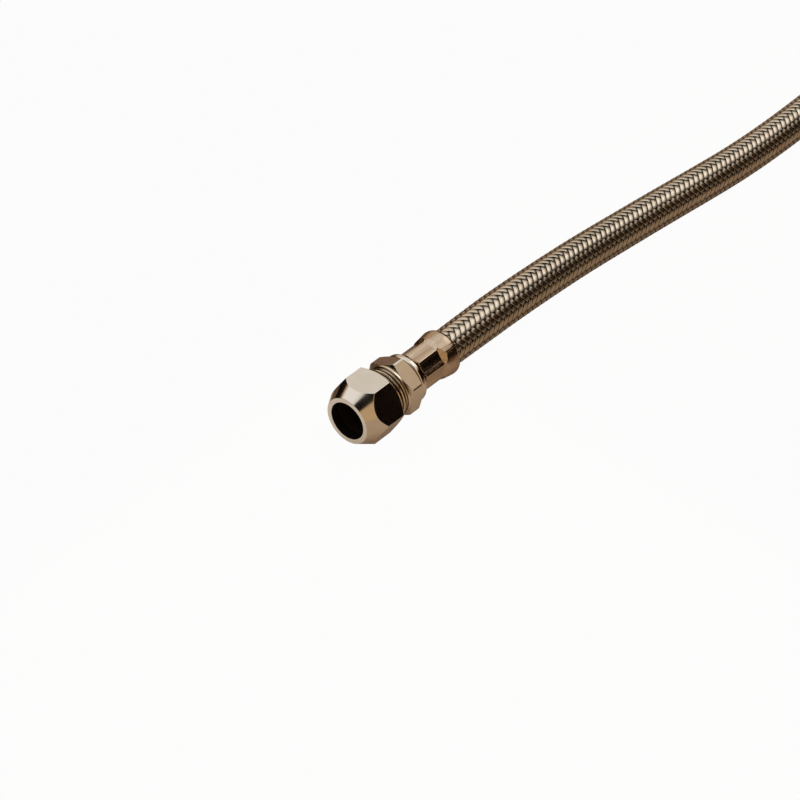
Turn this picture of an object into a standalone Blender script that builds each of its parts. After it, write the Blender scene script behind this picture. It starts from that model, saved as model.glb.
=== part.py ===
"""Braided flexible hose with a 12 mm compression end and a G3/8 swivel nut end.

Metres, +Z up. The hose lies on the ground along X, its compression nut at -X. Each fitting
is turned about its own level axis. A distance along that axis, called s here, is measured
inwards from the open end of the fitting.
"""
import math

import bmesh
import bpy
from mathutils import Matrix, Vector

# Whole hose
OVERALL_LENGTH = 0.3000
SIDE_STEP = 0.0100            # the two fitting axes lie this far apart, seen from above
FIT_GAP = 0.0003              # seating and running clearance between two pieces
LATHE_STEPS = 48

# Pipe that the compression end takes, and the mean radius of its G3/8 thread
PIPE_RADIUS = 0.0060
PIPE_CLEARANCE = 0.00005
THREAD_RADIUS = 0.0079

# Compression nut
NUT_ACROSS_FLATS = 0.0190
NUT_LENGTH = 0.0139
NUT_RIM_RADIUS = 0.0076       # flat ring round the pipe hole
NUT_CONE_LENGTH = 0.0059      # the nose cone meets the corners here
NUT_REAR_RADIUS = 0.0093
NUT_REAR_CHAMFER = 0.0013
NUT_WALL = 0.0030             # nose wall in front of the olive
NUT_HOLE_BREAK = 0.0003

# Olive
OLIVE_LENGTH = 0.0056
OLIVE_RADIUS = 0.0069
OLIVE_END_RADIUS = 0.0064
OLIVE_TAPER = 0.0014

# Compression body
SPIGOT_START = 0.0072
SPIGOT_BREAK = 0.0004
SOCKET_DEPTH = 0.0176         # the end of the pipe stops here
RING_START = 0.0181           # a plain ring, as wide as the hexagon's end face
HEX_START = 0.0188
HEX_LENGTH = 0.0054
HEX_ACROSS_FLATS = 0.0168
HEX_EDGE_BREAK = 0.0004
HEX_FACE_RADIUS = 0.0083
HEX_FRONT_CHAMFER = 0.0007
HEX_REAR_CHAMFER = 0.0009
HEX_ROLL = math.radians(-6.5)
NECK_RADIUS = 0.0072
COLLAR_START = 0.0248
COLLAR_LENGTH = 0.0021
COLLAR_RADIUS = 0.0080
COLLAR_ROUND = 0.0005

# Hose tail, the same on both fittings, measured from the front of its ferrule
SHOULDER_RADIUS = 0.0053
SHOULDER_LENGTH = 0.0016
TAIL_RADIUS = 0.0032
BARB_RADIUS = 0.0034
BARB_PITCH = 0.0024
BARB_COUNT = 4
TAIL_BORE_RADIUS = 0.0027
TAIL_END_MARGIN = 0.0010      # the tail ends this far inside the ferrule's mouth

# Ferrule, a sleeve that widens towards its mouth, with eight flats pressed in its neck
FERRULE_START = 0.0287
FERRULE_LENGTH = 0.0145
FERRULE_NECK_RADIUS = 0.0066
FERRULE_NECK_LENGTH = 0.0068  # the sleeve starts to widen here
FERRULE_PRESS_LENGTH = 0.0083  # the flats end here
FERRULE_STEP_LENGTH = 0.0016  # and rise to the round sleeve within this length
FERRULE_SKIRT_RADIUS = 0.0075
FERRULE_MOUTH_RADIUS = 0.0071
FERRULE_MOUTH_ROUND = 0.0012
FERRULE_WALL = 0.00054
FERRULE_EDGE_BREAK = 0.00015
CRIMP_SIDES = 8
CRIMP_ROLL = math.radians(18)

# Hose layers
BRAID_RADIUS = 0.00636
BRAID_MOUTH_RADIUS = 0.00610  # the braid is drawn in where it enters a ferrule
BRAID_DRAWN_LENGTH = 0.022
BRAID_WALL = 0.00070
BRAID_PRESSED_WALL = 0.00035
LINER_WALL = 0.00132
LINER_PRESSED_WALL = 0.00080
HOSE_SECTION_LEVEL = 4        # gives the tubes 12 sides
CURVE_STEPS = 16              # straight steps in each stretch of the route's curve

# Swivel end
SWIVEL_ACROSS_FLATS = 0.0190
SWIVEL_LENGTH = 0.0140
SWIVEL_RIM_RADIUS = 0.0092
SWIVEL_CHAMFER = 0.0009
SWIVEL_LIP_LENGTH = 0.0024
SWIVEL_MOUTH_BREAK = 0.0005
SWIVEL_FERRULE_GAP = 0.0006   # from the back of the nut to the front of the ferrule
FLANGE_LENGTH = 0.0021
FLANGE_RADIUS = 0.0070
WASHER_LENGTH = 0.0020
WASHER_HOLE_RADIUS = 0.0040

# Route of the hose from one ferrule's mouth to the other's, chosen by hand, in world places
ROUTE = [
    (-0.1068, 0.00500, 0.00950),
    (-0.0936, 0.00504, 0.00950),
    (-0.0796, 0.00505, 0.00942),
    (-0.0656, 0.00500, 0.00898),
    (-0.0516, 0.00494, 0.00828),
    (-0.0386, 0.00467, 0.00764),
    (-0.0266, 0.00414, 0.00706),
    (-0.0146, 0.00338, 0.00658),
    (-0.0026, 0.00235, 0.00639),
    (0.0104, 0.00095, 0.00638),
    (0.0244, -0.00060, 0.00638),
    (0.0384, -0.00200, 0.00640),
    (0.0524, -0.00315, 0.00675),
    (0.0664, -0.00400, 0.00739),
    (0.0804, -0.00455, 0.00816),
    (0.0944, -0.00485, 0.00888),
    (0.1082, -0.00498, 0.00938),
    (0.1209, -0.00500, 0.00950),
]
STATION_SPACING = 0.012       # distance between the points of the tubes, about one diameter

# Worked out from the sizes above
HALF_LENGTH = OVERALL_LENGTH / 2
AXIS_HEIGHT = NUT_ACROSS_FLATS / 2
PIPE_HOLE_RADIUS = PIPE_RADIUS + PIPE_CLEARANCE
OLIVE_START = NUT_WALL + FIT_GAP
OLIVE_END = OLIVE_START + OLIVE_LENGTH
HEX_END = HEX_START + HEX_LENGTH
COLLAR_END = COLLAR_START + COLLAR_LENGTH
SWIVEL_LIP_START = SWIVEL_LENGTH - SWIVEL_LIP_LENGTH
FLANGE_END = SWIVEL_LIP_START - FIT_GAP
FLANGE_START = FLANGE_END - FLANGE_LENGTH
WASHER_END = FLANGE_START - FIT_GAP
SWIVEL_FERRULE_START = SWIVEL_LENGTH + SWIVEL_FERRULE_GAP
NECK_BORE_RADIUS = FERRULE_NECK_RADIUS - FERRULE_WALL
NECK_BORE_FLAT = NECK_BORE_RADIUS * math.cos(math.pi / CRIMP_SIDES)
BRAID_NECK_RADIUS = NECK_BORE_FLAT - FIT_GAP
LINER_NECK_RADIUS = BRAID_NECK_RADIUS - BRAID_PRESSED_WALL - FIT_GAP
BRAID_TO_LINER = BRAID_WALL + FIT_GAP


def material(name, colour, metallic, roughness):
    made = bpy.data.materials.new(name)
    made.use_nodes = True
    shader = made.node_tree.nodes["Principled BSDF"]
    shader.inputs["Base Color"].default_value = (*colour, 1)
    shader.inputs["Metallic"].default_value = metallic
    shader.inputs["Roughness"].default_value = roughness
    return made


def new_collection(name):
    made = bpy.data.collections.new(name)
    bpy.context.scene.collection.children.link(made)
    return made


def add_object(name, data, group):
    made = bpy.data.objects.new(name, data)
    group.objects.link(made)
    if group is cutters:
        made.hide_render = True
        made.display_type = "WIRE"
    return made


def finish(made, surface):
    """Give a piece its material and smooth shading that breaks at the real edges."""
    made.data.materials.append(surface)
    made.data.shade_smooth()
    made.data.set_sharp_from_angle(angle=math.radians(30))
    return made


def place(made, end):
    """Put a piece on its fitting's axis, so that its local +Z points out of the open end."""
    made.location = (end * HALF_LENGTH, -end * SIDE_STEP / 2, AXIS_HEIGHT)
    made.rotation_euler = (0, end * math.pi / 2, 0)
    return made


def mesh_object(name, build, group):
    mesh = bpy.data.meshes.new(name)
    build.to_mesh(mesh)
    build.free()
    return add_object(name, mesh, group)


def outline_edges(build, outline, roll=0.0):
    """Draw a closed outline of (s, radius) in the half plane at the angle roll."""
    points = [build.verts.new((radius * math.cos(roll), radius * math.sin(roll), -s))
              for s, radius in outline]
    return [build.edges.new(pair) for pair in zip(points, points[1:] + points[:1])]


def turned(name, outline, group):
    """Turn an outline that starts at the open end and runs down its outer side."""
    build = bmesh.new()
    outline_edges(build, outline)
    made = mesh_object(name, build, group)
    screw = made.modifiers.new("Turn", "SCREW")
    screw.axis = "Z"
    screw.steps = LATHE_STEPS
    screw.render_steps = LATHE_STEPS
    screw.use_merge_vertices = True
    screw.merge_threshold = 0.00001
    return made


def cut(made, operation, tool):
    change = made.modifiers.new(tool.name, "BOOLEAN")
    change.operation = operation
    change.solver = "EXACT"
    change.object = tool


def hexagon_bar(name, across_flats, start, end, roll, edge_break=0.0):
    """A length of hexagon bar between two values of s, with one corner at the angle roll."""
    build = bmesh.new()
    radius = across_flats / math.sqrt(3)
    bmesh.ops.create_cone(build, cap_ends=True, segments=6, radius1=radius, radius2=radius,
                          depth=end - start)
    corner = build.verts[:][0].co
    turn = Matrix.Rotation(roll - math.atan2(corner.y, corner.x), 3, "Z")
    bmesh.ops.rotate(build, verts=build.verts, cent=(0, 0, 0), matrix=turn)
    bmesh.ops.translate(build, verts=build.verts, vec=(0, 0, -(start + end) / 2))
    if edge_break:
        long_edges = [e for e in build.edges if e.calc_length() > (end - start) * 0.99
                      and abs(e.verts[0].co.z - e.verts[1].co.z) > (end - start) / 2]
        bmesh.ops.bevel(build, geom=long_edges, offset=edge_break, affect="EDGES",
                        segments=1, profile=0.5, material=-1)
    return mesh_object(name, build, cutters)


def line_at(radius, start, end):
    """The s at which the line through two outline points reaches a radius."""
    share = (radius - start[1]) / (end[1] - start[1])
    return start[0] + share * (end[0] - start[0])


def compression_nut():
    corner = NUT_ACROSS_FLATS / math.sqrt(3)
    blank = corner + FIT_GAP
    nose = (0, NUT_RIM_RADIUS)
    rear = (NUT_LENGTH, NUT_REAR_RADIUS)
    nose_top = line_at(blank, nose, (NUT_CONE_LENGTH, corner))
    rear_top = line_at(blank, rear, (NUT_LENGTH - NUT_REAR_CHAMFER, corner))
    bore = THREAD_RADIUS + FIT_GAP
    taper_end = OLIVE_START + OLIVE_TAPER
    made = turned("compression_nut", [
        (0, PIPE_HOLE_RADIUS + NUT_HOLE_BREAK),
        nose,
        (nose_top, blank),
        (rear_top, blank),
        rear,
        (NUT_LENGTH, bore + SPIGOT_BREAK),
        (NUT_LENGTH - SPIGOT_BREAK, bore),
        (taper_end + bore - OLIVE_RADIUS, bore),
        (taper_end, OLIVE_RADIUS + FIT_GAP),
        (NUT_WALL, OLIVE_END_RADIUS + FIT_GAP / 2),
        (NUT_WALL, PIPE_HOLE_RADIUS),
        (NUT_HOLE_BREAK, PIPE_HOLE_RADIUS),
    ], parts)
    bar = place(hexagon_bar("compression_nut_bar", NUT_ACROSS_FLATS, -FIT_GAP,
                            NUT_LENGTH + FIT_GAP, math.radians(30)), -1)
    cut(made, "INTERSECT", bar)
    return place(finish(made, plated_brass), -1)


def compression_olive():
    made = turned("compression_olive", [
        (OLIVE_START, PIPE_HOLE_RADIUS),
        (OLIVE_START, OLIVE_END_RADIUS),
        (OLIVE_START + OLIVE_TAPER, OLIVE_RADIUS),
        (OLIVE_END - OLIVE_TAPER, OLIVE_RADIUS),
        (OLIVE_END, OLIVE_END_RADIUS),
        (OLIVE_END, PIPE_HOLE_RADIUS),
    ], parts)
    return place(finish(made, bare_brass), -1)


def tail_outline(ferrule_start):
    """Outer side of a hose tail behind its shoulder, with its barbs, and its bore."""
    start = ferrule_start + SHOULDER_LENGTH
    end = ferrule_start + FERRULE_LENGTH - TAIL_END_MARGIN
    outline = [(start, SHOULDER_RADIUS), (start, TAIL_RADIUS)]
    first = end - BARB_COUNT * BARB_PITCH
    for number in range(BARB_COUNT):
        front = first + number * BARB_PITCH
        back = front + BARB_PITCH * 0.8
        outline += [(front, TAIL_RADIUS), (front, BARB_RADIUS), (back, TAIL_RADIUS)]
    return outline + [(end, TAIL_RADIUS), (end, TAIL_BORE_RADIUS)]


def compression_body():
    seat_end = OLIVE_END + FIT_GAP
    seat_mouth = OLIVE_RADIUS + FIT_GAP + SPIGOT_BREAK / 4
    made = turned("compression_body", [
        (SPIGOT_START, seat_mouth),
        (SPIGOT_START, THREAD_RADIUS - SPIGOT_BREAK),
        (SPIGOT_START + SPIGOT_BREAK, THREAD_RADIUS),
        (RING_START, THREAD_RADIUS),
        (RING_START, HEX_FACE_RADIUS),
        (HEX_START + HEX_FRONT_CHAMFER, HEX_FACE_RADIUS),
        (HEX_START + HEX_FRONT_CHAMFER, NECK_RADIUS),
        (COLLAR_START, NECK_RADIUS),
        (COLLAR_START, COLLAR_RADIUS - COLLAR_ROUND),
        (COLLAR_START + COLLAR_ROUND, COLLAR_RADIUS),
        (COLLAR_END - COLLAR_ROUND, COLLAR_RADIUS),
        (COLLAR_END, COLLAR_RADIUS - COLLAR_ROUND),
        (COLLAR_END, SHOULDER_RADIUS),
        *tail_outline(FERRULE_START),
        (SOCKET_DEPTH + PIPE_HOLE_RADIUS - TAIL_BORE_RADIUS, TAIL_BORE_RADIUS),
        (SOCKET_DEPTH, PIPE_HOLE_RADIUS),
        (seat_end, PIPE_HOLE_RADIUS),
        (seat_end, OLIVE_END_RADIUS + FIT_GAP / 2),
    ], parts)
    corner = HEX_ACROSS_FLATS / math.sqrt(3)
    ring = turned("compression_body_hex_blank", [
        (HEX_START, PIPE_RADIUS),
        (HEX_START, HEX_FACE_RADIUS),
        (HEX_START + HEX_FRONT_CHAMFER, corner),
        (HEX_END - HEX_REAR_CHAMFER, corner),
        (HEX_END, HEX_FACE_RADIUS),
        (HEX_END, PIPE_RADIUS),
    ], cutters)
    bar = hexagon_bar("compression_body_bar", HEX_ACROSS_FLATS, HEX_START - FIT_GAP,
                      HEX_END + FIT_GAP, HEX_ROLL, HEX_EDGE_BREAK)
    cut(ring, "INTERSECT", place(bar, -1))
    cut(made, "UNION", place(ring, -1))
    return place(finish(made, plated_brass), -1)


def sleeve_radius(s):
    """Outer radius of the sleeve before its flats are pressed."""
    widest = FERRULE_LENGTH - FERRULE_MOUTH_ROUND
    share = (s - FERRULE_NECK_LENGTH) / (widest - FERRULE_NECK_LENGTH)
    return FERRULE_NECK_RADIUS + (FERRULE_SKIRT_RADIUS - FERRULE_NECK_RADIUS) * min(max(share, 0), 1)


def press_flats(vertex):
    """Move a point of the round sleeve in to the flat that it lies under, if it stands out."""
    side = 2 * math.pi / CRIMP_SIDES
    from_flat = (math.atan2(vertex.co.y, vertex.co.x) - CRIMP_ROLL) % side - side / 2
    s = -vertex.co.z
    flat = FERRULE_NECK_RADIUS * math.cos(side / 2)
    step_end = FERRULE_PRESS_LENGTH + FERRULE_STEP_LENGTH
    if s > FERRULE_PRESS_LENGTH:
        rise = sleeve_radius(step_end) - flat
        flat += rise * (s - FERRULE_PRESS_LENGTH) / FERRULE_STEP_LENGTH
    radius = vertex.co.xy.length
    if radius < sleeve_radius(s) - FERRULE_WALL / 2:
        flat -= FERRULE_WALL * math.cos(side / 2)
    if s <= step_end and radius > flat / math.cos(from_flat):
        vertex.co.xy *= flat / math.cos(from_flat) / radius


def ferrule(name, start, end):
    mouth_bore = BRAID_MOUTH_RADIUS + 2 * FIT_GAP
    skirt_end = FERRULE_LENGTH - FERRULE_MOUTH_ROUND
    rings = {FERRULE_NECK_LENGTH, FERRULE_PRESS_LENGTH, skirt_end}
    rings |= {FERRULE_PRESS_LENGTH + FERRULE_STEP_LENGTH * step / 4 for step in range(1, 5)}
    outline = [
        (0, NECK_BORE_RADIUS),
        (0, FERRULE_NECK_RADIUS - FERRULE_EDGE_BREAK),
        (FERRULE_EDGE_BREAK, FERRULE_NECK_RADIUS),
        *[(s, sleeve_radius(s)) for s in sorted(rings)],
        (FERRULE_LENGTH - FERRULE_EDGE_BREAK, FERRULE_MOUTH_RADIUS + FERRULE_EDGE_BREAK),
        (FERRULE_LENGTH, FERRULE_MOUTH_RADIUS),
        (FERRULE_LENGTH, mouth_bore),
        *[(s, sleeve_radius(s) - FERRULE_WALL) for s in sorted(rings, reverse=True)],
    ]
    build = bmesh.new()
    edges = outline_edges(build, outline, CRIMP_ROLL)
    corners = {vertex for edge in edges for vertex in edge.verts}
    bmesh.ops.spin(build, geom=edges + list(corners), cent=(0, 0, 0), axis=(0, 0, 1),
                   angle=2 * math.pi, steps=LATHE_STEPS, use_merge=True)
    bmesh.ops.remove_doubles(build, verts=build.verts, dist=0.00001)
    for vertex in build.verts:
        press_flats(vertex)
    bmesh.ops.translate(build, verts=build.verts, vec=(0, 0, -start))
    bmesh.ops.recalc_face_normals(build, faces=build.faces)
    made = mesh_object(name, build, parts)
    return place(finish(made, stainless_steel), end)


def swivel_tail():
    made = turned("swivel_tail", [
        (FLANGE_START, TAIL_BORE_RADIUS),
        (FLANGE_START, FLANGE_RADIUS),
        (FLANGE_END, FLANGE_RADIUS),
        (FLANGE_END, SHOULDER_RADIUS),
        *tail_outline(SWIVEL_FERRULE_START),
    ], parts)
    return place(finish(made, plated_brass), 1)


def sealing_washer():
    made = turned("sealing_washer", [
        (WASHER_END - WASHER_LENGTH, WASHER_HOLE_RADIUS),
        (WASHER_END - WASHER_LENGTH, FLANGE_RADIUS),
        (WASHER_END, FLANGE_RADIUS),
        (WASHER_END, WASHER_HOLE_RADIUS),
    ], parts)
    return place(finish(made, washer_rubber), 1)


def swivel_nut():
    corner = SWIVEL_ACROSS_FLATS / math.sqrt(3)
    lip_radius = SHOULDER_RADIUS + FIT_GAP
    made = turned("swivel_nut", [
        (0, THREAD_RADIUS + SWIVEL_MOUTH_BREAK),
        (0, SWIVEL_RIM_RADIUS),
        (SWIVEL_CHAMFER, corner),
        (SWIVEL_LENGTH - SWIVEL_CHAMFER, corner),
        (SWIVEL_LENGTH, SWIVEL_RIM_RADIUS),
        (SWIVEL_LENGTH, lip_radius),
        (SWIVEL_LIP_START, lip_radius),
        (SWIVEL_LIP_START, THREAD_RADIUS),
        (SWIVEL_MOUTH_BREAK, THREAD_RADIUS),
    ], parts)
    bar = place(hexagon_bar("swivel_nut_bar", SWIVEL_ACROSS_FLATS, -FIT_GAP,
                            SWIVEL_LENGTH + FIT_GAP, math.radians(30)), 1)
    cut(made, "INTERSECT", bar)
    return place(finish(made, plated_brass), 1)


def route_curve():
    """Many close points on the smooth curve through the route."""
    knots = [Vector(point) for point in ROUTE]
    knots = [2 * knots[0] - knots[1]] + knots + [2 * knots[-1] - knots[-2]]
    points = []
    for before, start, end, after in zip(knots, knots[1:], knots[2:], knots[3:]):
        for step in range(CURVE_STEPS):
            t = step / CURVE_STEPS
            points.append(0.5 * (2 * start + (end - before) * t
                                 + (2 * before - 5 * start + 4 * end - after) * t ** 2
                                 + (3 * start - before - 3 * end + after) * t ** 3))
    return points + [knots[-2]]


def route_points():
    """The points of the tubes between the ferrules, evenly spaced along the route's curve."""
    curve = route_curve()
    lengths = [0.0]
    for start, end in zip(curve, curve[1:]):
        lengths.append(lengths[-1] + (end - start).length)
    count = round(lengths[-1] / STATION_SPACING)
    points = []
    for number in range(count + 1):
        wanted = lengths[-1] * number / count
        after = next((i for i, at in enumerate(lengths) if at > wanted), len(curve) - 1)
        share = (wanted - lengths[after - 1]) / (lengths[after] - lengths[after - 1])
        points.append(curve[after - 1].lerp(curve[after], share))
    return points


def in_ferrule(end, ferrule_start, overrun):
    """Places of the hose inside a ferrule, from its inner end out to the end of the flats."""
    inner = ferrule_start + SHOULDER_LENGTH + FIT_GAP
    neck = ferrule_start + FERRULE_PRESS_LENGTH
    skirt = ferrule_start + FERRULE_PRESS_LENGTH + FERRULE_STEP_LENGTH
    return [Vector((end * (HALF_LENGTH - s), -end * SIDE_STEP / 2, AXIS_HEIGHT))
            for s in (inner - overrun, neck, skirt)]


def hose_tube(name, radius, mouth_radius, neck_radius, group, overrun=0.0):
    """A closed tube along the hose. Past a ferrule's flats it swells to its full radius."""
    free = route_points()
    near = in_ferrule(-1, FERRULE_START, overrun)
    far = in_ferrule(1, SWIVEL_FERRULE_START, overrun)[::-1]
    ends = [(neck_radius, near[0]), (neck_radius, near[1]), (mouth_radius, near[2])]
    other = [(mouth_radius, far[0]), (neck_radius, far[1]), (neck_radius, far[2])]
    middle = []
    for point in free:
        drawn = min((point - free[0]).length, (point - free[-1]).length) / BRAID_DRAWN_LENGTH
        middle.append((mouth_radius + (radius - mouth_radius) * min(drawn, 1), point))
    tube = bpy.data.curves.new(name, "CURVE")
    tube.dimensions = "3D"
    tube.bevel_depth = 1.0
    tube.bevel_resolution = HOSE_SECTION_LEVEL
    tube.use_fill_caps = True
    line = tube.splines.new("POLY")
    stations = ends + middle + other
    line.points.add(len(stations) - 1)
    for target, (size, point) in zip(line.points, stations):
        target.co = (*point, 1)
        target.radius = size
    return curve_to_mesh(name, tube, group)


def curve_to_mesh(name, curve, group):
    """Turn a capped curve into a mesh object with its caps welded on."""
    guide = bpy.data.objects.new(name + "_guide", curve)
    cutters.objects.link(guide)
    bpy.context.view_layer.update()
    graph = bpy.context.evaluated_depsgraph_get()
    mesh = bpy.data.meshes.new_from_object(guide.evaluated_get(graph))
    build = bmesh.new()
    build.from_mesh(mesh)
    bmesh.ops.remove_doubles(build, verts=build.verts, dist=0.00001)
    bmesh.ops.recalc_face_normals(build, faces=build.faces)
    made = mesh_object(name, build, group)
    made.matrix_world = guide.matrix_world
    bpy.data.objects.remove(guide)
    return made


def hose_layer(name, surface, radius, mouth_radius, neck_radius, wall, pressed_wall):
    made = hose_tube(name, radius, mouth_radius, neck_radius, parts)
    bore = hose_tube(name + "_bore", radius - wall, mouth_radius - wall,
                     neck_radius - pressed_wall, cutters, FIT_GAP)
    cut(made, "DIFFERENCE", bore)
    return finish(made, surface)


for leftover in list(bpy.data.objects):
    bpy.data.objects.remove(leftover)

parts = new_collection("flexible_hose")
cutters = new_collection("cutters")

plated_brass = material("nickel_plated_brass", (0.52, 0.45, 0.37), 1.0, 0.25)
bare_brass = material("bare_brass", (0.69, 0.49, 0.20), 1.0, 0.30)
stainless_steel = material("pressed_stainless_steel", (0.44, 0.36, 0.29), 1.0, 0.32)
steel_wire = material("stainless_steel_wire", (0.46, 0.39, 0.32), 1.0, 0.38)
liner_rubber = material("liner_rubber", (0.02, 0.02, 0.02), 0.0, 0.60)
washer_rubber = material("washer_rubber", (0.03, 0.03, 0.03), 0.0, 0.55)

compression_nut()
compression_olive()
compression_body()
ferrule("compression_ferrule", FERRULE_START, -1)
hose_layer("inner_tube", liner_rubber, BRAID_RADIUS - BRAID_TO_LINER,
           BRAID_MOUTH_RADIUS - BRAID_TO_LINER, LINER_NECK_RADIUS, LINER_WALL,
           LINER_PRESSED_WALL)
hose_layer("wire_braid", steel_wire, BRAID_RADIUS, BRAID_MOUTH_RADIUS, BRAID_NECK_RADIUS,
           BRAID_WALL, BRAID_PRESSED_WALL)
ferrule("swivel_ferrule", SWIVEL_FERRULE_START, 1)
swivel_tail()
sealing_washer()
swivel_nut()
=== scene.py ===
"""Looks of the braided flexible hose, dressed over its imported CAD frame.

Metres, +Z up, in the frame of the CAD. A fitting is made with its axis on local Z and its open
end facing +Z, then laid on its own level axis. A distance along it, s, is measured inwards
from the open end. The outlines of the fittings are in millimetres.
"""
import math
from bisect import bisect_left

import bmesh
import bpy
from mathutils import Matrix, Vector


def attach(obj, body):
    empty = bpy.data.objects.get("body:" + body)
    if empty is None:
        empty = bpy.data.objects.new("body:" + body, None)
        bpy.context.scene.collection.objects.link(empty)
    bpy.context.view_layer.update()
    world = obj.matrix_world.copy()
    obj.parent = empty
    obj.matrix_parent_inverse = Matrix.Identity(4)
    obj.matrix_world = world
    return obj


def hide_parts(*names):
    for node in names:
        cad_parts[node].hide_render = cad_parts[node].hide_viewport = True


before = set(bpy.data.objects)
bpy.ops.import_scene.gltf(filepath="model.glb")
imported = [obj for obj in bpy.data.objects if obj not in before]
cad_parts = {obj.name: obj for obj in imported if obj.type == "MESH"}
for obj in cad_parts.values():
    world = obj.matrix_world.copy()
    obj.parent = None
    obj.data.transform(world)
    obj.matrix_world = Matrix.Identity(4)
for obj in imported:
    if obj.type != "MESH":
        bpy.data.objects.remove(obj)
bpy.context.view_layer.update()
MM = 0.001

# Places shared with the CAD
HALF_LENGTH = 150.0 * MM
SIDE_STEP = 10.0 * MM
AXIS_HEIGHT = 9.5 * MM
ROUTE = [
    (-0.1068, 0.00500, 0.00950),
    (-0.0936, 0.00504, 0.00950),
    (-0.0796, 0.00505, 0.00942),
    (-0.0656, 0.00500, 0.00898),
    (-0.0516, 0.00494, 0.00828),
    (-0.0386, 0.00467, 0.00764),
    (-0.0266, 0.00414, 0.00706),
    (-0.0146, 0.00338, 0.00658),
    (-0.0026, 0.00235, 0.00639),
    (0.0104, 0.00095, 0.00638),
    (0.0244, -0.00060, 0.00638),
    (0.0384, -0.00200, 0.00640),
    (0.0524, -0.00315, 0.00675),
    (0.0664, -0.00400, 0.00739),
    (0.0804, -0.00455, 0.00816),
    (0.0944, -0.00485, 0.00888),
    (0.1082, -0.00498, 0.00938),
    (0.1209, -0.00500, 0.00950),
]
BRAID_RADIUS = 6.36 * MM
BRAID_MOUTH_RADIUS = 6.10 * MM
BRAID_DRAWN_LENGTH = 22.0 * MM

# Braid: 24 carriers, half of them wound each way, passing over two and under two
CARRIERS_EACH_WAY = 12
LAY = 28.3 * MM               # length of hose in which a carrier goes round once
STRAND_WIDTH = 1.78 * MM
STRAND_THICKNESS = 0.36 * MM
STRAND_RISE = 0.17 * MM       # half the step from the under layer to the over layer
STRAND_SNAP = 1.7             # how quickly a strand steps from one layer to the other
WIRES_PER_STRAND = 6
OVER_CENTRE = math.radians(83.2)
FIRST_STRAND = OVER_CENTRE + math.radians(7.5)
TUCK = 3.0 * MM               # the braid runs this far into each ferrule

# G3/8 thread
PITCH = 1.337 * MM
THREAD_MEAN = 7.90 * MM
THREAD_HALF_DEPTH = 0.43 * MM
THREAD_PLAY = 0.12            # in mm, how far the clamp nut's thread stands off the spigot's
ROWS_PER_PITCH = 10
RUN_OUT = 1.4                 # the thread fades over one pitch divided by this
CREST_ROUNDING = 0.15         # 0 would be a sine wave, more makes crests and roots flatter

# Hexagons, in mm
NUT_FLATS = 19.0
NUT_CORNERS = 10.97           # radius of the nuts' corners
NUT_BLANK = 11.3              # radius of the bar that the nuts are milled from
BODY_FLATS = 16.8
BODY_BLANK = 9.55             # a little inside the corners, so they stay above the floor
BODY_ROLL = math.radians(23.5)

# Pressed sleeve, in mm from its neck's end
NECK_RADIUS = 6.6
SKIRT_GROWTH = 0.9
SLEEVE_WALL = 0.54
PRESSED_WALL = 0.5
PRESSED_FLATS = 8
PRESSED_HOLLOW = 0.20
FLATS_ROLL = math.radians(18)
NECK_END, FLATS_END, STEP_END, SKIRT_END = 6.8, 8.3, 9.9, 13.3

ROUND = 96                    # sides of a full turn, on turned pieces
SLEEVE_ROUND = 128

# The studio as a list of patches, each laid over the ones before it: the way it lies, the
# cosines to that way at which it begins and is full, and its tone.
STUDIO_BASE = "#0C0604"
STUDIO_PATCHES = [
    ((0.0, 0.12, 1.0), 0.5163, 0.5957, "#CDB08C"),     # tan foot of the ceiling
    ((0.0, 0.12, 1.0), 0.5858, 0.6851, "#F3F4F5"),     # pale ceiling
    ((-0.40, -0.80, 0.45), 0.75, 0.89, "#CCB08C"),     # tan wall behind the camera, to its right
    ((-0.38, -0.33, 0.86), 0.94, 0.975, "#0C0604"),    # dark patch above the camera
    ((0.60, 0.80, 0.02), 0.93, 0.99, "#7C6353"),       # brown wall beyond the object
    ((0.60, 0.72, 0.36), 0.958, 0.98, "#D6C2A8"),      # light patch above that wall
]

# The floor as metal mirrors it: tan paper, with a painted pool of light ahead of the nut's mouth, and
# painted shade past the nut on the right and all along the left. A band has the axis that it runs
# across, and where on that axis it begins and is full.
FLOOR_BANDS = {
    "ahead of the nut": ("X", -149.5 * MM, -152.5 * MM),
    "left of the mouth": ("Y", -10.0 * MM, 12.0 * MM),
    "past the nut": ("X", -115.0 * MM, -90.0 * MM),
    "off to the right": ("Y", -20.0 * MM, -100.0 * MM),
    "off to the left": ("Y", 25.0 * MM, 55.0 * MM),
}
# the paper's own tan, and the darker tone that paints shade on it
PAPER_LIGHT, PAPER_PAINTED_SHADE = "#E2CAAE", "#7A6654"
PAPER_GLOW = 0.05             # share of plain white in the mirrored paper
AHEAD_GLOW = 0.45             # what that share gains ahead of the nut, a painted pool of light
PAST_NUT_SHADE = 0.45         # least share of the painted shade past the nut
CAMERA_WHITE = 0.97           # share of plain white to the camera, the rest is shaded paper


# Camera and light

def look_along(right, up, forward, place):
    """A camera's matrix from its own directions."""
    turn = Matrix((right, up, -forward)).transposed()
    return Matrix.Translation(place) @ turn.to_4x4()


def add_camera():
    """The photograph's camera, matched to the outlines of the fittings and the hose."""
    data = bpy.data.cameras.new("camera")
    data.sensor_width = 36.0
    data.lens = 99.5
    data.clip_start = 0.01
    data.clip_end = 100.0
    made = bpy.data.objects.new("camera", data)
    bpy.context.scene.collection.objects.link(made)
    made.matrix_world = look_along(
        Vector((0.6455, -0.7638, 0.0)),
        Vector((0.4797, 0.4054, 0.7782)),
        Vector((0.5944, 0.5023, -0.6280)),
        Vector((-0.51745, -0.32557, 0.41604)),
    )
    bpy.context.scene.camera = made


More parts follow.
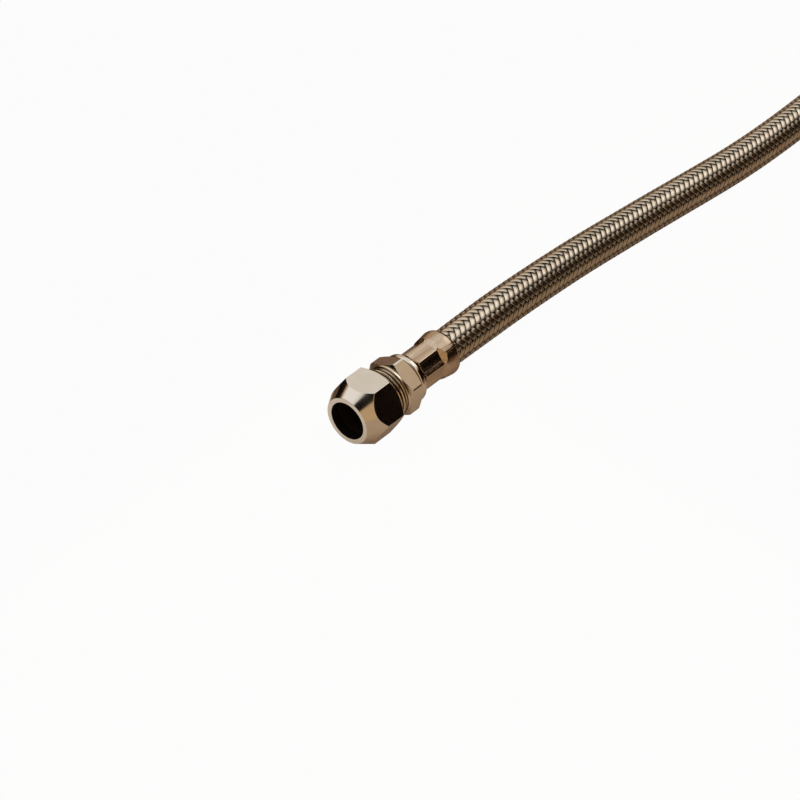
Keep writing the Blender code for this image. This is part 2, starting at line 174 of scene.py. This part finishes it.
def linear(hex_colour):
    """An sRGB hex colour as linear red, green, blue and an alpha of 1."""
    parts = [int(hex_colour[i:i + 2], 16) / 255 for i in (1, 3, 5)]
    return (*(p / 12.92 if p <= 0.04045 else ((p + 0.055) / 1.055) ** 2.4 for p in parts), 1.0)


def add(tree, kind, inputs=None, **settings):
    """Add one node with its settings. An input given as a socket is linked."""
    made = tree.nodes.new("ShaderNode" + kind)
    for name, value in settings.items():
        setattr(made, name, value)
    for name, value in (inputs or {}).items():
        if isinstance(value, bpy.types.NodeSocket):
            tree.links.new(value, made.inputs[name])
        else:
            made.inputs[name].default_value = value
    return made


def add_world():
    """A dark warm studio with a pale ceiling and the patches that polished metal mirrors."""
    world = bpy.data.worlds.new("studio")
    bpy.context.scene.world = world
    world.use_nodes = True
    tree = world.node_tree
    tree.nodes.clear()
    where = add(tree, "TexCoord").outputs["Generated"]
    colour = linear(STUDIO_BASE)
    for way, edge, full, tone in STUDIO_PATCHES:
        cosine = add(tree, "VectorMath", {0: where, 1: Vector(way).normalized()},
                     operation="DOT_PRODUCT").outputs["Value"]
        share = add(tree, "MapRange", {"Value": cosine, "From Min": edge, "From Max": full},
                    interpolation_type="SMOOTHSTEP").outputs["Result"]
        colour = add(tree, "Mix", {"Factor": share, "A": colour, "B": linear(tone)},
                     data_type="RGBA").outputs["Result"]
    shade = add(tree, "Background", {"Color": colour, "Strength": 1.0}).outputs["Background"]
    out = add(tree, "OutputWorld", {"Surface": shade})
    out.is_active_output = True


def add_lamp(name, place, aim, size, size_y, power, tone):
    """A softbox at a place, aimed at another."""
    data = bpy.data.lights.new(name, "AREA")
    data.shape = "RECTANGLE"
    data.size = size
    data.size_y = size_y
    data.energy = power
    data.color = linear(tone)[:3]
    made = bpy.data.objects.new(name, data)
    bpy.context.scene.collection.objects.link(made)
    made.location = place
    made.rotation_euler = (Vector(aim) - Vector(place)).to_track_quat("-Z", "Y").to_euler()


def floor_paper():
    """Matt paper: plain white to the camera with part of the object's shadow, tan to metal, with
    painted light and painted shade in the bands that metal mirrors.
    """
    made = bpy.data.materials.new("white_paper_floor")
    made.use_nodes = True
    tree = made.node_tree
    tree.nodes.clear()
    where = add(tree, "TexCoord").outputs["Object"]
    axes = add(tree, "SeparateXYZ", {"Vector": where}).outputs
    bands = {}
    for name, (axis, edge, full) in FLOOR_BANDS.items():
        bands[name] = add(tree, "MapRange", {"Value": axes[axis], "From Min": edge, "From Max": full},
                          interpolation_type="SMOOTHSTEP").outputs["Result"]
    # Painted shade past the nut on the right and along the left, and a painted pool of light ahead of
    # the nut, shown mostly in what metal mirrors.
    right = add(tree, "MapRange", {"Value": bands["off to the right"],
                                   "To Min": PAST_NUT_SHADE}).outputs["Result"]
    right = add(tree, "Math", {0: right, 1: bands["past the nut"]},
                operation="MULTIPLY").outputs["Value"]
    dark = add(tree, "Math", {0: right, 1: bands["off to the left"]},
               operation="MAXIMUM").outputs["Value"]
    ahead = add(tree, "Math", {0: bands["ahead of the nut"], 1: bands["left of the mouth"]},
                operation="MULTIPLY").outputs["Value"]
    glow = add(tree, "Math", {0: ahead, 1: AHEAD_GLOW, 2: PAPER_GLOW},
               operation="MULTIPLY_ADD").outputs["Value"]
    glow = add(tree, "MapRange", {"Value": dark, "To Min": glow, "To Max": 0.0}).outputs["Result"]
    path = add(tree, "LightPath").outputs
    mirrored = add(tree, "Math", {0: path["Is Glossy Ray"], 1: path["Is Transmission Ray"]},
                   operation="MAXIMUM").outputs["Value"]
    mirrored = add(tree, "Math", {0: mirrored, 1: glow}, operation="MULTIPLY").outputs["Value"]
    share = add(tree, "Math", {0: path["Is Camera Ray"], 1: CAMERA_WHITE, 2: mirrored},
                operation="MULTIPLY_ADD").outputs["Value"]
    tone = add(tree, "Mix", {"Factor": dark, "A": linear(PAPER_LIGHT), "B": linear(PAPER_PAINTED_SHADE)},
               data_type="RGBA").outputs["Result"]
    paper = add(tree, "BsdfDiffuse", {"Color": tone}).outputs["BSDF"]
    white = add(tree, "Emission", {"Color": linear("#FFFFFF"), "Strength": 1.0}).outputs["Emission"]
    mix = add(tree, "MixShader", {0: share, 1: paper, 2: white}).outputs["Shader"]
    add(tree, "OutputMaterial", {"Surface": mix})
    return made


def add_floor():
    """A plain floor, wide enough to fill every view."""
    build = bmesh.new()
    bmesh.ops.create_grid(build, x_segments=1, y_segments=1, size=12.0)
    mesh = bpy.data.meshes.new("floor")
    build.to_mesh(mesh)
    build.free()
    mesh.materials.append(floor_paper())
    made = bpy.data.objects.new("floor", mesh)
    bpy.context.scene.collection.objects.link(made)


# Finishes

def new_finish(name, colour, metallic, roughness):
    """A Principled surface, with its tree and its shader."""
    made = bpy.data.materials.new(name)
    made.use_nodes = True
    tree = made.node_tree
    shader = tree.nodes["Principled BSDF"]
    shader.inputs["Base Color"].default_value = linear(colour)
    shader.inputs["Metallic"].default_value = metallic
    shader.inputs["Roughness"].default_value = roughness
    return made, tree, shader


def mottle(tree, shader, scale_mm, tones, shine, stretch=(1, 1, 1)):
    """Slow changes of tone and shine over the surface, in patches of about scale_mm."""
    where = add(tree, "TexCoord").outputs["Object"]
    spread = add(tree, "Mapping", {"Vector": where, "Scale": stretch}).outputs["Vector"]
    noise = add(tree, "TexNoise", {"Vector": spread, "Scale": 1 / (scale_mm * MM), "Detail": 4.0,
                                   "Roughness": 0.55}).outputs["Fac"]
    tone = add(tree, "Mix", {"Factor": noise, "A": linear(tones[0]), "B": linear(tones[1])},
               data_type="RGBA").outputs["Result"]
    tree.links.new(tone, shader.inputs["Base Color"])
    gloss = add(tree, "MapRange", {"Value": noise, "From Min": 0.3, "From Max": 0.7,
                                   "To Min": shine[0], "To Max": shine[1]}).outputs["Result"]
    tree.links.new(gloss, shader.inputs["Roughness"])
    return noise


def nickel_plate():
    """Turned brass, nickel plated and polished: warm grey, with faint turning rings."""
    made, tree, shader = new_finish("nickel_plated_turned_brass", "#D3C8B8", 1.0, 0.12)
    mottle(tree, shader, 6.0, ("#DED4C5", "#D5C8B6"), (0.12, 0.17))
    # Turning rings round the near fitting's axis. Real ones are about 0.08 mm apart, which is
    # too fine to show, so they are drawn 0.7 mm apart. A wave of scale 1 repeats every 0.314.
    rings_apart = 0.7 * MM
    where = add(tree, "TexCoord").outputs["Object"]
    centred = add(tree, "Mapping", {"Vector": where,
                                    "Location": (HALF_LENGTH, -SIDE_STEP / 2, -AXIS_HEIGHT)})
    rings = add(tree, "TexWave", {"Vector": centred.outputs["Vector"],
                                  "Scale": 0.314 / rings_apart, "Distortion": 0.0},
                wave_type="RINGS", rings_direction="X").outputs["Fac"]
    bump = add(tree, "Bump", {"Height": rings, "Strength": 0.05, "Distance": 0.02 * MM})
    tree.links.new(bump.outputs["Normal"], shader.inputs["Normal"])
    return made


def thread_brass():
    """The plated brass on the thread: bright along the crests, darkened to brown in the roots as
    painted shade.
    """
    made, tree, shader = new_finish("plated_brass_thread", "#B99B78", 1.0, 0.22)
    where = add(tree, "TexCoord").outputs["Object"]
    centred = add(tree, "VectorMath", {0: where, 1: (0, -SIDE_STEP / 2, -AXIS_HEIGHT)})
    across = add(tree, "VectorMath", {0: centred.outputs["Vector"], 1: (0, 1, 1)},
                 operation="MULTIPLY").outputs["Vector"]
    radius = add(tree, "VectorMath", {0: across}, operation="LENGTH").outputs["Value"]
    # Painted shade: the colour darkens from the crests down into the roots of the thread.
    crest = add(tree, "MapRange", {"Value": radius, "From Min": THREAD_MEAN - 0.22 * MM,
                                   "From Max": THREAD_MEAN + 0.38 * MM}).outputs["Result"]
    tone = add(tree, "Mix", {"Factor": crest, "A": linear("#2A1A0E"), "B": linear("#EBD9BE")},
               data_type="RGBA").outputs["Result"]
    tree.links.new(tone, shader.inputs["Base Color"])
    return made


def pressed_steel():
    """Pressed stainless steel sleeve: bright, with streaks along it left by the press."""
    made, tree, shader = new_finish("pressed_stainless_steel", "#C9B8A2", 1.0, 0.18)
    noise = mottle(tree, shader, 1.0, ("#D6C1A8", "#AC9176"), (0.13, 0.22), (0.06, 1, 1))
    bump = add(tree, "Bump", {"Height": noise, "Strength": 0.80, "Distance": 0.20 * MM})
    tree.links.new(bump.outputs["Normal"], shader.inputs["Normal"])
    return made


def braid_wire():
    """Strands of six fine stainless steel wires side by side: bright ridges, dark lines."""
    # Six wires to a strand are 0.3 mm apart. Real ones may be finer, and would not show.
    made, tree, shader = new_finish("woven_stainless_steel_wire", "#CDBBA3", 1.0, 0.24)
    place = add(tree, "UVMap", uv_map="strand").outputs["UV"]
    across = add(tree, "SeparateXYZ", {"Vector": place}).outputs["Y"]
    wires = add(tree, "Math", {0: across, 1: math.pi * WIRES_PER_STRAND},
                operation="MULTIPLY").outputs["Value"]
    for step in ("SINE", "ABSOLUTE"):
        wires = add(tree, "Math", {0: wires}, operation=step).outputs["Value"]
    where = add(tree, "TexCoord").outputs["Object"]
    noise = add(tree, "TexNoise", {"Vector": where, "Scale": 1 / (3.0 * MM),
                                   "Detail": 3.0}).outputs["Fac"]
    tone = add(tree, "Mix", {"Factor": noise, "A": linear("#EFE2CE"), "B": linear("#C8B49C")},
               data_type="RGBA").outputs["Result"]
    # Painted shade, with dirt: between the wires, on the strand's sides, and where it dips under the
    # next strand. The piece's attribute raised is 1 where it lies on top and 0 underneath.
    off = add(tree, "Math", {0: across, 1: 0.5}, operation="SUBTRACT").outputs["Value"]
    off = add(tree, "Math", {0: off}, operation="ABSOLUTE").outputs["Value"]
    raised = add(tree, "Attribute", attribute_name="raised").outputs["Fac"]
    light = add(tree, "MapRange", {"Value": wires, "From Max": 0.45,
                                   "To Min": 0.80}).outputs["Result"]
    for source, start, end, first, last in [(off, 0.455, 0.475, 1.0, 0.04),
                                            (raised, 0.55, 0.96, 0.10, 1.0)]:
        share = add(tree, "MapRange", {"Value": source, "From Min": start, "From Max": end,
                                       "To Min": first, "To Max": last}).outputs["Result"]
        light = add(tree, "Math", {0: light, 1: share}, operation="MULTIPLY").outputs["Value"]
    shaded = add(tree, "VectorMath", {0: tone, "Scale": light}, operation="SCALE")
    tree.links.new(shaded.outputs["Vector"], shader.inputs["Base Color"])
    bump = add(tree, "Bump", {"Height": wires, "Strength": 0.25, "Distance": 0.05 * MM})
    tree.links.new(bump.outputs["Normal"], shader.inputs["Normal"])
    return made


def drilled_brass(name, tones):
    """Drilled brass, dull and painted dark as shade, so a deep bore shows as black."""
    made, tree, shader = new_finish(name, tones[0], 0.6, 0.55)
    noise = mottle(tree, shader, 1.5, tones, (0.48, 0.62))
    bump = add(tree, "Bump", {"Height": noise, "Strength": 0.30, "Distance": 0.05 * MM})
    tree.links.new(bump.outputs["Normal"], shader.inputs["Normal"])
    return made


def black_rubber(name):
    """Moulded black rubber: nearly matt, with a fine grain."""
    made, tree, shader = new_finish(name, "#1C1B1A", 0.0, 0.55)
    noise = mottle(tree, shader, 0.4, ("#201F1E", "#151413"), (0.48, 0.64))
    bump = add(tree, "Bump", {"Height": noise, "Strength": 0.25, "Distance": 0.03 * MM})
    tree.links.new(bump.outputs["Normal"], shader.inputs["Normal"])
    return made


# Making pieces

def lay_on_axis(build, end):
    """Lay a fitting's shape on its axis: end is -1 at the compression end, +1 at the other."""
    turn = Matrix.Rotation(end * math.pi / 2, 4, "Y")
    move = Matrix.Translation((end * HALF_LENGTH, -end * SIDE_STEP / 2, AXIS_HEIGHT))
    bmesh.ops.transform(build, matrix=move @ turn, verts=build.verts)


def piece(name, build, finishes, body, nodes=(), edge_angle=35):
    """Make a finished piece, sharp where its faces turn by more than edge_angle degrees."""
    mesh = bpy.data.meshes.new(name)
    build.to_mesh(mesh)
    build.free()
    for finish in finishes:
        mesh.materials.append(finish)
    mesh.shade_smooth()
    mesh.set_sharp_from_angle(angle=math.radians(edge_angle))
    made = bpy.data.objects.new(name, mesh)
    bpy.context.scene.collection.objects.link(made)
    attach(made, body)
    if nodes:
        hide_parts(*nodes)
    return made


def keep_flats_flat(made):
    """Shade a milled piece by its large faces, so that its flats stay flat beside their bevels."""
    shading = made.modifiers.new("Flat faces", "WEIGHTED_NORMAL")
    shading.keep_sharp = True


def spun(build, outline, steps, start=0.0):
    """Spin a closed outline of (s, radius), both in mm, round the axis."""
    ring = [build.verts.new((r * MM * math.cos(start), r * MM * math.sin(start), -s * MM))
            for s, r in outline]
    edges = [build.edges.new(pair) for pair in zip(ring, ring[1:] + ring[:1])]
    bmesh.ops.spin(build, geom=ring + edges, cent=(0, 0, 0), axis=(0, 0, 1),
                   angle=2 * math.pi, steps=steps, use_merge=True)
    bmesh.ops.remove_doubles(build, verts=build.verts, dist=0.001 * MM)
    bmesh.ops.recalc_face_normals(build, faces=build.faces)


def mill_hexagon(build, across, first):
    """Mill six flats. The first one faces the angle first."""
    for side in range(6):
        angle = first + side * math.pi / 3
        outward = Vector((math.cos(angle), math.sin(angle), 0))
        cut = bmesh.ops.bisect_plane(
            build, geom=build.verts[:] + build.edges[:] + build.faces[:], dist=0.0001 * MM,
            plane_co=outward * across / 2 * MM, plane_no=outward, clear_outer=True)
        rim = [part for part in cut["geom_cut"] if isinstance(part, bmesh.types.BMEdge)]
        bmesh.ops.holes_fill(build, edges=rim, sides=0)
    bmesh.ops.recalc_face_normals(build, faces=build.faces)


def soften(build, width, least_angle, segments=2, keep=lambda edge: True):
    """Bevel the edges where two faces turn by more than least_angle degrees."""
    edges = [edge for edge in build.edges if edge.is_manifold and keep(edge)
             and edge.calc_face_angle(0) > math.radians(least_angle)]
    bmesh.ops.bevel(build, geom=edges, offset=width * MM, offset_type="OFFSET", affect="EDGES",
                    segments=segments, profile=0.5, material=-1, clamp_overlap=True)


def outside(radius):
    """A test for edges that lie wholly outside a radius in mm."""
    return lambda edge: min(vertex.co.xy.length for vertex in edge.verts) > radius * MM


def thread_rows(start, end):
    """Values of s, in mm, close enough together to carry a thread."""
    count = round((end - start) * MM / PITCH * ROWS_PER_PITCH)
    return [start + (end - start) * row / count for row in range(count + 1)]


def raise_thread(build, start, end, radius):
    """Move the points of a cylinder in and out into a right-hand thread that fades at both ends."""
    for vertex in build.verts:
        s = -vertex.co.z / MM
        at = vertex.co.xy.length
        if not start - 0.01 < s < end + 0.01 or abs(at - radius * MM) > 0.05 * MM:
            continue
        turn = vertex.co.z / PITCH - math.atan2(vertex.co.y, vertex.co.x) / (2 * math.pi)
        fade = min(1.0, (s - start) * MM / PITCH * RUN_OUT, (end - s) * MM / PITCH * RUN_OUT)
        wave = math.cos(2 * math.pi * turn)
        wave = wave * (1 + CREST_ROUNDING - CREST_ROUNDING * wave * wave)
        vertex.co.xy *= (at + THREAD_HALF_DEPTH * max(fade, 0) * wave) / at


# Compression end

def compression_nut():
    """Hexagon nut with a coned nose. The cone runs over the flats' ends as curved edges."""
    length = 13.9
    nose, hole = 7.6, 6.05                      # radii at the open end
    cone_end = 5.9                              # the cone meets the corners here
    chamfer_start, chamfer_radius = 12.6, 9.3   # at the threaded end
    cone = cone_end / (NUT_CORNERS - nose)
    chamfer = (length - chamfer_start) / (NUT_CORNERS - chamfer_radius)
    inside = THREAD_MEAN / MM + THREAD_PLAY
    build = bmesh.new()
    spun(build, [
        (0.0, hole + 0.15), (0.0, nose), ((NUT_BLANK - nose) * cone, NUT_BLANK),
        (chamfer_start - (NUT_BLANK - NUT_CORNERS) * chamfer, NUT_BLANK), (length, chamfer_radius),
        (length, inside + 0.55), (length - 0.4, inside + 0.15),
        *[(s, inside) for s in thread_rows(6.0, 13.3)[::-1]],
        (5.0, 7.2), (3.0, 6.55), (3.0, hole), (0.15, hole),
    ], ROUND)
    raise_thread(build, 6.0, 13.3, inside)
    mill_hexagon(build, NUT_FLATS, 0.0)
    soften(build, 0.08, 22, keep=lambda edge: all(abs(v.co.z) < 0.01 * MM for v in edge.verts))
    soften(build, 0.28, 22, segments=4, keep=outside(9.0))
    # Faces inside the nut take the dark brass, painted shade in its bore.
    for face in build.faces:
        widest = max(vertex.co.xy.length for vertex in face.verts)
        if face.calc_center_median().z < -0.06 * MM and widest < 7.5 * MM:
            face.material_index = 1
    lay_on_axis(build, -1)
    made = piece("nut", build, [plate, bore], "clamp_nut", ["compression_nut"])
    keep_flats_flat(made)


def compression_body():
    """Threaded spigot, hexagon, collar and the neck that runs into the ferrule, in one piece."""
    mean = THREAD_MEAN / MM
    build = bmesh.new()
    spun(build, [
        # spigot's end and its thread
        (7.2, 7.15), (7.2, 7.4), (7.5, mean - 0.2),
        *[(s, mean) for s in thread_rows(7.6, 18.0)],
        # shoulder, and the core under the hexagon
        (18.1, 7.9), (18.1, 8.2), (18.2, 8.32), (18.9, 8.32), (19.3, 7.2), (24.4, 7.2),
        # rounded collar
        (24.65, 7.0), (24.8, 7.25), (24.85, 7.6), (25.02, 7.86), (25.35, 8.0), (26.25, 8.0),
        (26.6, 7.9), (26.82, 7.62), (26.9, 7.2),
        # neck and tail
        (26.9, 5.3), (30.3, 5.3), (30.3, 3.2), (42.2, 3.2), (42.2, 2.7),
        # bore, pipe socket and the olive's seat
        (20.95, 2.7), (17.6, 6.05), (9.2, 6.05), (9.2, 6.5),
    ], ROUND)
    raise_thread(build, 7.6, 18.0, mean)
    # Faces on the thread take the brass with painted shade in its roots; faces in the bore take the
    # dark brass, painted shade.
    for face in build.faces:
        centre = face.calc_center_median()
        s, radius = -centre.z / MM, centre.xy.length / MM
        if 7.3 < s < 19.0 and radius > 7.3:
            face.material_index = 1
        elif s < 21.0 and radius < 6.4:
            face.material_index = 2
    ring = bmesh.new()
    spun(ring, [
        (18.8, 6.6), (18.8, 8.3), (19.5, BODY_BLANK), (23.3, BODY_BLANK), (24.2, 8.3), (24.2, 6.6),
    ], ROUND)
    mill_hexagon(ring, BODY_FLATS, BODY_ROLL)
    soften(ring, 0.07, 14, keep=outside(8.0))
    hexagon = bpy.data.meshes.new("hexagon")
    ring.to_mesh(hexagon)
    ring.free()
    build.from_mesh(hexagon)
    bpy.data.meshes.remove(hexagon)
    lay_on_axis(build, -1)
    made = piece("fitting_body", build, [plate, gold, bore], "hose",
                 ["compression_body"])
    keep_flats_flat(made)


# Ferrules

def sleeve_radius(s):
    """Outer radius of the sleeve in mm before its flats are pressed."""
    share = min(max((s - NECK_END) / (SKIRT_END - NECK_END), 0), 1)
    return NECK_RADIUS + SKIRT_GROWTH * share


def press_flats(vertex):
    """Press the neck in to eight flats, each a little hollow, with a step up to the sleeve."""
    side = 2 * math.pi / PRESSED_FLATS
    from_flat = (math.atan2(vertex.co.y, vertex.co.x) - FLATS_ROLL) % side - side / 2
    s, radius = -vertex.co.z / MM, vertex.co.xy.length / MM
    hollow = PRESSED_HOLLOW * math.cos(from_flat / side * math.pi) ** 2
    flat = NECK_RADIUS * math.cos(side / 2) - hollow
    if s > FLATS_END:
        flat += (sleeve_radius(STEP_END) - flat) * (s - FLATS_END) / (STEP_END - FLATS_END)
    if radius < sleeve_radius(s) - SLEEVE_WALL / 2:
        flat -= PRESSED_WALL
    if s < STEP_END + 0.01 and radius > flat / math.cos(from_flat):
        vertex.co.xy *= flat / math.cos(from_flat) / radius


def ferrule(name, node, start, end):
    """Sleeve that widens from its neck to a rolled mouth, with eight flats pressed in the neck.

    The mouth is rolled in along a quarter of an ellipse.
    """
    step_rows = [FLATS_END + row / 10 for row in range(17)]
    rows = [2.4, 4.8, NECK_END, 7.6, 8.15, *step_rows, 10.5, 12.0]
    mouth = [(SKIRT_END + 1.15 * math.sin(turn), 7.08 + 0.42 * math.cos(turn))
             for turn in (math.radians(degrees) for degrees in range(0, 91, 18))]
    build = bmesh.new()
    spun(build, [
        (0.0, 6.42), (0.05, 6.53), (0.18, NECK_RADIUS),
        *[(s, sleeve_radius(s)) for s in rows], *mouth,
        (14.45, 6.78), (14.2, 6.72), *[(s, sleeve_radius(s) - SLEEVE_WALL) for s in rows[:2:-1]],
        (0.0, NECK_RADIUS - SLEEVE_WALL),
    ], SLEEVE_ROUND, FLATS_ROLL)
    for vertex in build.verts:
        press_flats(vertex)
    bmesh.ops.translate(build, verts=build.verts, vec=(0, 0, -start * MM))
    lay_on_axis(build, end)
    piece(name, build, [steel], "hose", [node], 50)


# Swivel end

def swivel_nut():
    """Loose hexagon nut, threaded inside, with a lip that holds the tail's flange."""
    mean = THREAD_MEAN / MM
    length, chamfer, face_radius = 14.0, 0.9, 9.2
    build = bmesh.new()
    spun(build, [
        (0.0, mean + 0.5), (0.0, face_radius), (chamfer, NUT_CORNERS), (chamfer, NUT_BLANK),
        (length - chamfer, NUT_BLANK), (length - chamfer, NUT_CORNERS), (length, face_radius),
        (length, 5.6), (11.6, 5.6), (11.6, mean + 0.1), (7.0, mean + 0.1),
        *[(s, mean) for s in thread_rows(0.5, 6.8)[::-1]],
    ], ROUND)
    raise_thread(build, 0.5, 6.8, mean)
    mill_hexagon(build, NUT_FLATS, 0.0)
    soften(build, 0.10, 22, keep=outside(8.8))
    lay_on_axis(build, 1)
    made = piece("loose_nut", build, [plate], "loose_nut", ["swivel_nut"])
    keep_flats_flat(made)


# Braid

def hose_line():
    """Close points along the middle of the hose, each with its two cross directions.

    The middle is a Catmull-Rom curve through the route, with a straight tuck at each end.
    """
    steps_per_knot = 16
    knots = [Vector(point) for point in ROUTE]
    knots = [2 * knots[0] - knots[1]] + knots + [2 * knots[-1] - knots[-2]]
    points = [knots[1] - Vector((TUCK, 0, 0))]
    for before, start, end, after in zip(knots, knots[1:], knots[2:], knots[3:]):
        for step in range(steps_per_knot):
            t = step / steps_per_knot
            points.append(0.5 * (2 * start + (end - before) * t
                                 + (2 * before - 5 * start + 4 * end - after) * t ** 2
                                 + (3 * start - before - 3 * end + after) * t ** 3))
    points += [knots[-2], knots[-2] + Vector((TUCK, 0, 0))]
    side, rise, heading = Vector((0, 1, 0)), Vector((0, 0, 1)), Vector((1, 0, 0))
    stations = []
    along = 0.0
    for here, ahead in zip(points, points[1:] + [2 * points[-1] - points[-2]]):
        tangent = (ahead - here).normalized()
        swing = heading.rotation_difference(tangent)
        side, rise, heading = swing @ side, swing @ rise, tangent
        stations.append((along, here, side, rise))
        along += (ahead - here).length
    return stations


def on_hose(stations, along, angle, depth):
    """The place at a length along the hose, an angle round it and a depth under its outside."""
    at = max(bisect_left(stations, along, key=lambda station: station[0]) - 1, 0)
    start, end = stations[at], stations[at + 1]
    share = (along - start[0]) / (end[0] - start[0])
    middle, side, rise = (start[part].lerp(end[part], share) for part in (1, 2, 3))
    from_mouth = min(along - TUCK, stations[-1][0] - TUCK - along)
    drawn = min(max(from_mouth / BRAID_DRAWN_LENGTH, 0.0), 1.0)
    radius = BRAID_MOUTH_RADIUS + (BRAID_RADIUS - BRAID_MOUTH_RADIUS) * drawn - depth
    return middle + radius * (math.cos(angle) * side + math.sin(angle) * rise)


def braid_layer(name, winding, stations):
    """Twelve flat strands wound one way. A strand's height depends only on where it is round
    the hose, so the two layers pass over and under each other in columns along it."""
    total = stations[-1][0]
    strand_angle = math.atan2(2 * math.pi * BRAID_RADIUS, LAY)
    sections_per_crossing = 4
    sections = round(total / LAY * 2 * CARRIERS_EACH_WAY * sections_per_crossing)
    half = STRAND_WIDTH / 2
    thick = STRAND_THICKNESS / 2
    # A strand's section, each point as shares of its half width and its half thickness
    ring = [(0.96, -0.9), (-0.96, -0.9), (-1.0, 0.0), (-0.95, 0.62), (-0.80, 0.90), (0.0, 1.0),
            (0.80, 0.90), (0.95, 0.62), (1.0, 0.0), (0.96, -0.9)]
    build = bmesh.new()
    uv = build.loops.layers.uv.new("strand")
    raised = build.verts.layers.float.new("raised")
    for number in range(CARRIERS_EACH_WAY):
        strand = bmesh.ops.create_grid(build, x_segments=sections, y_segments=len(ring) - 1,
                                       size=0.5, calc_uvs=False)["verts"]
        first = FIRST_STRAND + number * 2 * math.pi / CARRIERS_EACH_WAY
        for vertex in strand:
            middle = (vertex.co.x + 0.5) * total
            across, up = ring[round((vertex.co.y + 0.5) * (len(ring) - 1))]
            for loop in vertex.link_loops:
                loop[uv].uv = (middle / MM, across * 0.5 + 0.5)
            angle = first + winding * 2 * math.pi * middle / LAY
            wave = winding * math.cos(CARRIERS_EACH_WAY / 2 * (angle - OVER_CENTRE))
            height = STRAND_RISE * math.tanh(STRAND_SNAP * wave) / math.tanh(STRAND_SNAP)
            along = middle + across * half * math.sin(strand_angle)
            angle -= winding * across * half * math.cos(strand_angle) / BRAID_RADIUS
            along = min(max(along, 0.0), total)
            depth = thick + STRAND_RISE - height - up * thick
            vertex[raised] = 0.5 + 0.5 * height / STRAND_RISE
            vertex.co = on_hose(stations, along, angle, depth)
    bmesh.ops.remove_doubles(build, verts=build.verts, dist=0.001 * MM)
    bmesh.ops.recalc_face_normals(build, faces=build.faces)
    return piece(name, build, [wire], "hose", edge_angle=180)


def braid():
    """The two layers of the braid, between the ferrules."""
    stations = hose_line()
    over = braid_layer("braid_right_hand", 1, stations)
    under = braid_layer("braid_left_hand", -1, stations)
    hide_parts("wire_braid")


def dress(node, finish):
    """Give a CAD piece that shows as it is its finish."""
    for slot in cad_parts[node].material_slots:
        slot.material = finish


bpy.context.scene.view_settings.view_transform = "Standard"
add_camera()
add_world()
add_floor()
add_lamp("overhead_softbox", (-0.42, 0.52, 0.85), (0.0, 0.0, 0.0), 0.9, 0.6, 0.34, "#DCE6FF")
add_lamp("side_softbox", (0.544, -0.12, 0.795), (-0.05, 0.0, 0.0), 0.46, 0.46, 0.40, "#FFFFFF")

plate = nickel_plate()
gold = thread_brass()
steel = pressed_steel()
wire = braid_wire()
# Dark brass for the bores, painted shade where they lie deep.
bore = drilled_brass("drilled_brass_painted_shade", ("#221A16", "#16110F"))

braid()
compression_nut()
compression_body()
ferrule("near_ferrule", "compression_ferrule", 28.7, -1)
ferrule("far_ferrule", "swivel_ferrule", 14.6, 1)
swivel_nut()
# The olive is given the dark brass too, painted shade inside the fitting.
dress("compression_olive", drilled_brass("plain_brass_painted_shade", ("#44341F", "#302417")))
dress("inner_tube", black_rubber("black_rubber_liner"))
dress("sealing_washer", black_rubber("black_rubber_washer"))
dress("swivel_tail", plate)
